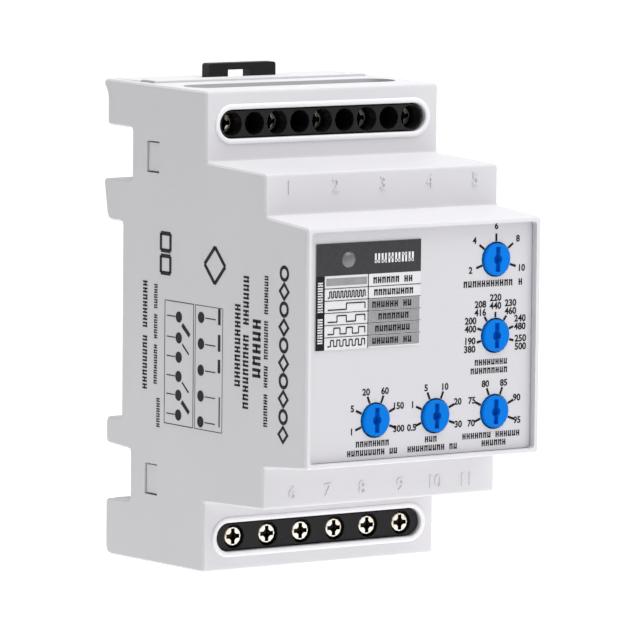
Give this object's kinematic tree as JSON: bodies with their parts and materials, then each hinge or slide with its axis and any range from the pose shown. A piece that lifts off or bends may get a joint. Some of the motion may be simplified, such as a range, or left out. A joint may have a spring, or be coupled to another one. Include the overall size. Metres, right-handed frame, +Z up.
{
  "type": "phase monitor relay",
  "caption": "Rail-mounted three-phase voltage monitor relay in a stepped housing, with setting dials, a status plate, recessed screw terminals and a sprung rail clip.",
  "frame": {"origin": "middle of the rail seat, on the plane where the rail's flanges rest", "axes": "+Y out of the back towards the rail, -Y the dial face, +Z up, +X along the rail to the right of the dial face"},
  "size_m": [0.0524, 0.0677, 0.093],
  "materials": {
    "housing": "fine moulded texture",
    "black_plastic": "moulded, semi matte",
    "spring_steel": "drawn wire",
    "label_film": "printed film",
    "plate_film": "printed film",
    "lens": "smooth",
    "dial_blue": "moulded, satin",
    "trimmer_plastic": "moulded",
    "nickel_plate": "plated, slightly worn",
    "zinc_steel": "zinc plated",
    "brass": "stamped",
    "circuit_board": "solder resist",
    "capacitor_sleeve": "shrunk sleeve",
    "film_box": "moulded",
    "varistor_coat": "dipped"
  },
  "bodies": {
    "casing": {"front_housing": "housing", "rear_base": "housing", "front_label": "label_film", "status_plate": "plate_film", "status_lens": "lens", "status_led": "lens", "main_board": "circuit_board", "control_board": "circuit_board", "riser_board": "circuit_board", "output_relay": "black_plastic", "smoothing_capacitor": "capacitor_sleeve", "film_capacitor": "film_box", "surge_varistor": "varistor_coat", "unbalance_trimmer": "trimmer_plastic", "line_voltage_trimmer": "trimmer_plastic", "undervoltage_trimmer": "trimmer_plastic", "trip_delay_trimmer": "trimmer_plastic", "restart_delay_trimmer": "trimmer_plastic", "upper_terminal_block": "black_plastic", "upper_contact_1": "brass", "upper_contact_2": "brass", "upper_contact_3": "brass", "upper_contact_4": "brass", "upper_contact_5": "brass", "lower_terminal_block": "black_plastic", "lower_contact_1": "brass", "lower_contact_2": "brass", "lower_contact_3": "brass", "lower_contact_4": "brass", "lower_contact_5": "brass", "lower_contact_6": "brass"},
    "unbalance_dial": {"unbalance_knob": "dial_blue"},
    "line_voltage_dial": {"line_voltage_knob": "dial_blue"},
    "undervoltage_dial": {"undervoltage_knob": "dial_blue"},
    "trip_delay_dial": {"trip_delay_knob": "dial_blue"},
    "restart_delay_dial": {"restart_delay_knob": "dial_blue"},
    "clip": {"rail_clip": "black_plastic", "clip_spring": "spring_steel"},
    "upper_screw_1": {"upper_screw_1": "nickel_plate"},
    "upper_cage_1": {"upper_cage_1": "zinc_steel"},
    "upper_screw_2": {"upper_screw_2": "nickel_plate"},
    "upper_cage_2": {"upper_cage_2": "zinc_steel"},
    "upper_screw_3": {"upper_screw_3": "nickel_plate"},
    "upper_cage_3": {"upper_cage_3": "zinc_steel"},
    "upper_screw_4": {"upper_screw_4": "nickel_plate"},
    "upper_cage_4": {"upper_cage_4": "zinc_steel"},
    "upper_screw_5": {"upper_screw_5": "nickel_plate"},
    "upper_cage_5": {"upper_cage_5": "zinc_steel"},
    "lower_screw_1": {"lower_screw_1": "nickel_plate"},
    "lower_cage_1": {"lower_cage_1": "zinc_steel"},
    "lower_screw_2": {"lower_screw_2": "nickel_plate"},
    "lower_cage_2": {"lower_cage_2": "zinc_steel"},
    "lower_screw_3": {"lower_screw_3": "nickel_plate"},
    "lower_cage_3": {"lower_cage_3": "zinc_steel"},
    "lower_screw_4": {"lower_screw_4": "nickel_plate"},
    "lower_cage_4": {"lower_cage_4": "zinc_steel"},
    "lower_screw_5": {"lower_screw_5": "nickel_plate"},
    "lower_cage_5": {"lower_cage_5": "zinc_steel"},
    "lower_screw_6": {"lower_screw_6": "nickel_plate"},
    "lower_cage_6": {"lower_cage_6": "zinc_steel"}
  },
  "joints": [
    {"name": "unbalance_turn", "type": "hinge", "parent": "casing", "child": "unbalance_dial", "pos_m": [0.0169, -0.06, 0.01435], "axis": [0, 1, 0], "range_deg": [-120, 120]},
    {"name": "line_voltage_turn", "type": "hinge", "parent": "casing", "child": "line_voltage_dial", "pos_m": [0.0169, -0.06, 0.00025], "axis": [0, 1, 0], "range_deg": [-120, 120]},
    {"name": "undervoltage_turn", "type": "hinge", "parent": "casing", "child": "undervoltage_dial", "pos_m": [0.0169, -0.06, -0.01385], "axis": [0, 1, 0], "range_deg": [-120, 120]},
    {"name": "trip_delay_turn", "type": "hinge", "parent": "casing", "child": "trip_delay_dial", "pos_m": [0.00345, -0.06, -0.01385], "axis": [0, 1, 0], "range_deg": [-120, 120]},
    {"name": "restart_delay_turn", "type": "hinge", "parent": "casing", "child": "restart_delay_dial", "pos_m": [-0.01, -0.06, -0.01385], "axis": [0, 1, 0], "range_deg": [-120, 120]},
    {"name": "clip_slide", "type": "slide", "parent": "casing", "child": "clip", "axis": [0, 0, 1], "range_m": [0, 0.003], "stiffness_N_per_m": 1500, "springref_m": -0.004, "deforming": ["clip_spring"]},
    {"name": "upper_screw_1_turn", "type": "hinge", "parent": "casing", "child": "upper_screw_1", "pos_m": [-0.02032, -0.022, 0.0384], "axis": [0, 1, 0], "range_deg": [0, 2160]},
    {"name": "upper_cage_1_rise", "type": "slide", "parent": "casing", "child": "upper_cage_1", "axis": [0, -1, 0], "range_m": [0, 0.003]},
    {"name": "upper_screw_2_turn", "type": "hinge", "parent": "casing", "child": "upper_screw_2", "pos_m": [-0.01016, -0.022, 0.0384], "axis": [0, 1, 0], "range_deg": [0, 2160]},
    {"name": "upper_cage_2_rise", "type": "slide", "parent": "casing", "child": "upper_cage_2", "axis": [0, -1, 0], "range_m": [0, 0.003]},
    {"name": "upper_screw_3_turn", "type": "hinge", "parent": "casing", "child": "upper_screw_3", "pos_m": [0, -0.022, 0.0384], "axis": [0, 1, 0], "range_deg": [0, 2160]},
    {"name": "upper_cage_3_rise", "type": "slide", "parent": "casing", "child": "upper_cage_3", "axis": [0, -1, 0], "range_m": [0, 0.003]},
    {"name": "upper_screw_4_turn", "type": "hinge", "parent": "casing", "child": "upper_screw_4", "pos_m": [0.01016, -0.022, 0.0384], "axis": [0, 1, 0], "range_deg": [0, 2160]},
    {"name": "upper_cage_4_rise", "type": "slide", "parent": "casing", "child": "upper_cage_4", "axis": [0, -1, 0], "range_m": [0, 0.003]},
    {"name": "upper_screw_5_turn", "type": "hinge", "parent": "casing", "child": "upper_screw_5", "pos_m": [0.02032, -0.022, 0.0384], "axis": [0, 1, 0], "range_deg": [0, 2160]},
    {"name": "upper_cage_5_rise", "type": "slide", "parent": "casing", "child": "upper_cage_5", "axis": [0, -1, 0], "range_m": [0, 0.003]},
    {"name": "lower_screw_1_turn", "type": "hinge", "parent": "casing", "child": "lower_screw_1", "pos_m": [-0.01905, -0.022, -0.0384], "axis": [0, 1, 0], "range_deg": [0, 2160]},
    {"name": "lower_cage_1_rise", "type": "slide", "parent": "casing", "child": "lower_cage_1", "axis": [0, -1, 0], "range_m": [0, 0.003]},
    {"name": "lower_screw_2_turn", "type": "hinge", "parent": "casing", "child": "lower_screw_2", "pos_m": [-0.01143, -0.022, -0.0384], "axis": [0, 1, 0], "range_deg": [0, 2160]},
    {"name": "lower_cage_2_rise", "type": "slide", "parent": "casing", "child": "lower_cage_2", "axis": [0, -1, 0], "range_m": [0, 0.003]},
    {"name": "lower_screw_3_turn", "type": "hinge", "parent": "casing", "child": "lower_screw_3", "pos_m": [-0.00381, -0.022, -0.0384], "axis": [0, 1, 0], "range_deg": [0, 2160]},
    {"name": "lower_cage_3_rise", "type": "slide", "parent": "casing", "child": "lower_cage_3", "axis": [0, -1, 0], "range_m": [0, 0.003]},
    {"name": "lower_screw_4_turn", "type": "hinge", "parent": "casing", "child": "lower_screw_4", "pos_m": [0.00381, -0.022, -0.0384], "axis": [0, 1, 0], "range_deg": [0, 2160]},
    {"name": "lower_cage_4_rise", "type": "slide", "parent": "casing", "child": "lower_cage_4", "axis": [0, -1, 0], "range_m": [0, 0.003]},
    {"name": "lower_screw_5_turn", "type": "hinge", "parent": "casing", "child": "lower_screw_5", "pos_m": [0.01143, -0.022, -0.0384], "axis": [0, 1, 0], "range_deg": [0, 2160]},
    {"name": "lower_cage_5_rise", "type": "slide", "parent": "casing", "child": "lower_cage_5", "axis": [0, -1, 0], "range_m": [0, 0.003]},
    {"name": "lower_screw_6_turn", "type": "hinge", "parent": "casing", "child": "lower_screw_6", "pos_m": [0.01905, -0.022, -0.0384], "axis": [0, 1, 0], "range_deg": [0, 2160]},
    {"name": "lower_cage_6_rise", "type": "slide", "parent": "casing", "child": "lower_cage_6", "axis": [0, -1, 0], "range_m": [0, 0.003]}
  ],
  "couplings": [
    {"joint": "upper_screw_1_turn", "follows": "upper_cage_1_rise", "rad_per_m": 12566},
    {"joint": "upper_screw_2_turn", "follows": "upper_cage_2_rise", "rad_per_m": 12566},
    {"joint": "upper_screw_3_turn", "follows": "upper_cage_3_rise", "rad_per_m": 12566},
    {"joint": "upper_screw_4_turn", "follows": "upper_cage_4_rise", "rad_per_m": 12566},
    {"joint": "upper_screw_5_turn", "follows": "upper_cage_5_rise", "rad_per_m": 12566},
    {"joint": "lower_screw_1_turn", "follows": "lower_cage_1_rise", "rad_per_m": 12566},
    {"joint": "lower_screw_2_turn", "follows": "lower_cage_2_rise", "rad_per_m": 12566},
    {"joint": "lower_screw_3_turn", "follows": "lower_cage_3_rise", "rad_per_m": 12566},
    {"joint": "lower_screw_4_turn", "follows": "lower_cage_4_rise", "rad_per_m": 12566},
    {"joint": "lower_screw_5_turn", "follows": "lower_cage_5_rise", "rad_per_m": 12566},
    {"joint": "lower_screw_6_turn", "follows": "lower_cage_6_rise", "rad_per_m": 12566}
  ]
}
